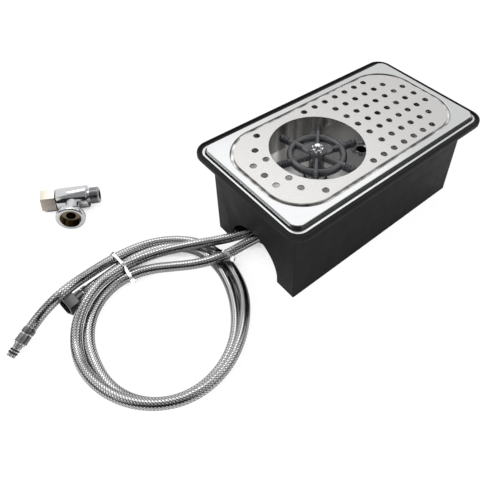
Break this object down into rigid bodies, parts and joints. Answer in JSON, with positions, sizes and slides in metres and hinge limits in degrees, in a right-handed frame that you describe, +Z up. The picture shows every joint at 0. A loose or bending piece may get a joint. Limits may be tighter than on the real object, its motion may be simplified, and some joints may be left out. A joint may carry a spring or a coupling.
{
  "type": "pitcher rinser",
  "caption": "Countertop pitcher rinser: steel basin with a perforated cover plate and a spring press star in a black housing, with braided supply hoses and a loose tee.",
  "frame": {"origin": "middle of the bottom edge of the housing's front wall, halfway through the wall's thickness, on the counter", "axes": "+X along the rinser away from the arch and the hoses, +Y from the front wall to the rear wall, +Z up"},
  "size_m": [0.5892, 0.3698, 0.1372],
  "materials": {
    "housing_plastic": "satin black moulded plastic",
    "star_plastic": "satin dark grey moulded plastic",
    "satin_steel": "satin pressed stainless steel",
    "chrome": "bright chrome plate",
    "dark_chrome": "turned steel",
    "brass": "machined brass",
    "braid": "braided stainless wire over a rubber hose",
    "nut_steel": "dull nickel plate",
    "rubber": "matt black rubber",
    "white_nylon": "white nylon",
    "clear_nylon": "natural translucent nylon"
  },
  "bodies": {
    "rinser": {"housing": "housing_plastic", "drip_pan": "satin_steel", "valve_body": "brass", "valve_washer": "rubber", "valve_gasket": "rubber", "valve_collar": "dark_chrome", "gland_nut": "brass", "return_spring": "dark_chrome", "inlet_block": "brass", "drain_flange": "dark_chrome", "drain_gasket": "rubber", "drain_locknut": "chrome", "drain_barb": "housing_plastic", "hose_a": "braid", "hose_b": "braid", "hose_a_outer_ferrule": "nut_steel", "hose_a_inner_ferrule": "nut_steel", "hose_b_outer_ferrule": "nut_steel", "hose_b_inner_ferrule": "nut_steel", "hose_a_fitting": "chrome", "hose_a_o_ring_1": "rubber", "hose_a_o_ring_2": "rubber", "hose_b_fitting": "chrome", "hose_b_o_ring_1": "rubber", "hose_b_o_ring_2": "rubber", "hose_a_port_tail": "chrome", "hose_a_port_washer": "rubber", "hose_a_port_nut": "nut_steel", "hose_b_tail": "chrome", "hose_b_washer": "rubber", "cable_tie_1": "white_nylon", "cable_tie_2": "clear_nylon"},
    "cover": {"cover_plate": "satin_steel"},
    "star": {"star_actuator": "star_plastic", "spray_nozzle": "chrome", "valve_stem": "dark_chrome", "poppet_seal": "rubber"},
    "hose_nut": {"hose_b_nut": "nut_steel"},
    "tee": {"tee_body": "chrome", "tee_washer": "rubber"},
    "tee_nut": {"tee_union_nut": "chrome"}
  },
  "joints": [
    {"name": "star_press", "type": "slide", "parent": "rinser", "child": "star", "axis": [0, 0, -1], "range_m": [0, 0.005], "stiffness_N_per_m": 1500, "springref_m": -0.004, "deforming": ["return_spring"]},
    {"name": "plate_lift", "type": "slide", "parent": "rinser", "child": "cover", "axis": [0, 0, 1], "range_m": [0, 0.05]},
    {"name": "hose_nut_spin", "type": "hinge", "parent": "rinser", "child": "hose_nut", "pos_m": [-0.3271, 0.1538, 0.0136], "axis": [-0.9778, -0.2003, 0.0622], "continuous": true},
    {"name": "tee_lift", "type": "slide", "parent": "rinser", "child": "tee", "axis": [0, 0, 1], "range_m": [0, 0.05]},
    {"name": "tee_nut_spin", "type": "hinge", "parent": "tee", "child": "tee_nut", "pos_m": [-0.2746, 0.302, 0.0153], "axis": [0.8776, -0.4794, 0], "continuous": true}
  ]
}
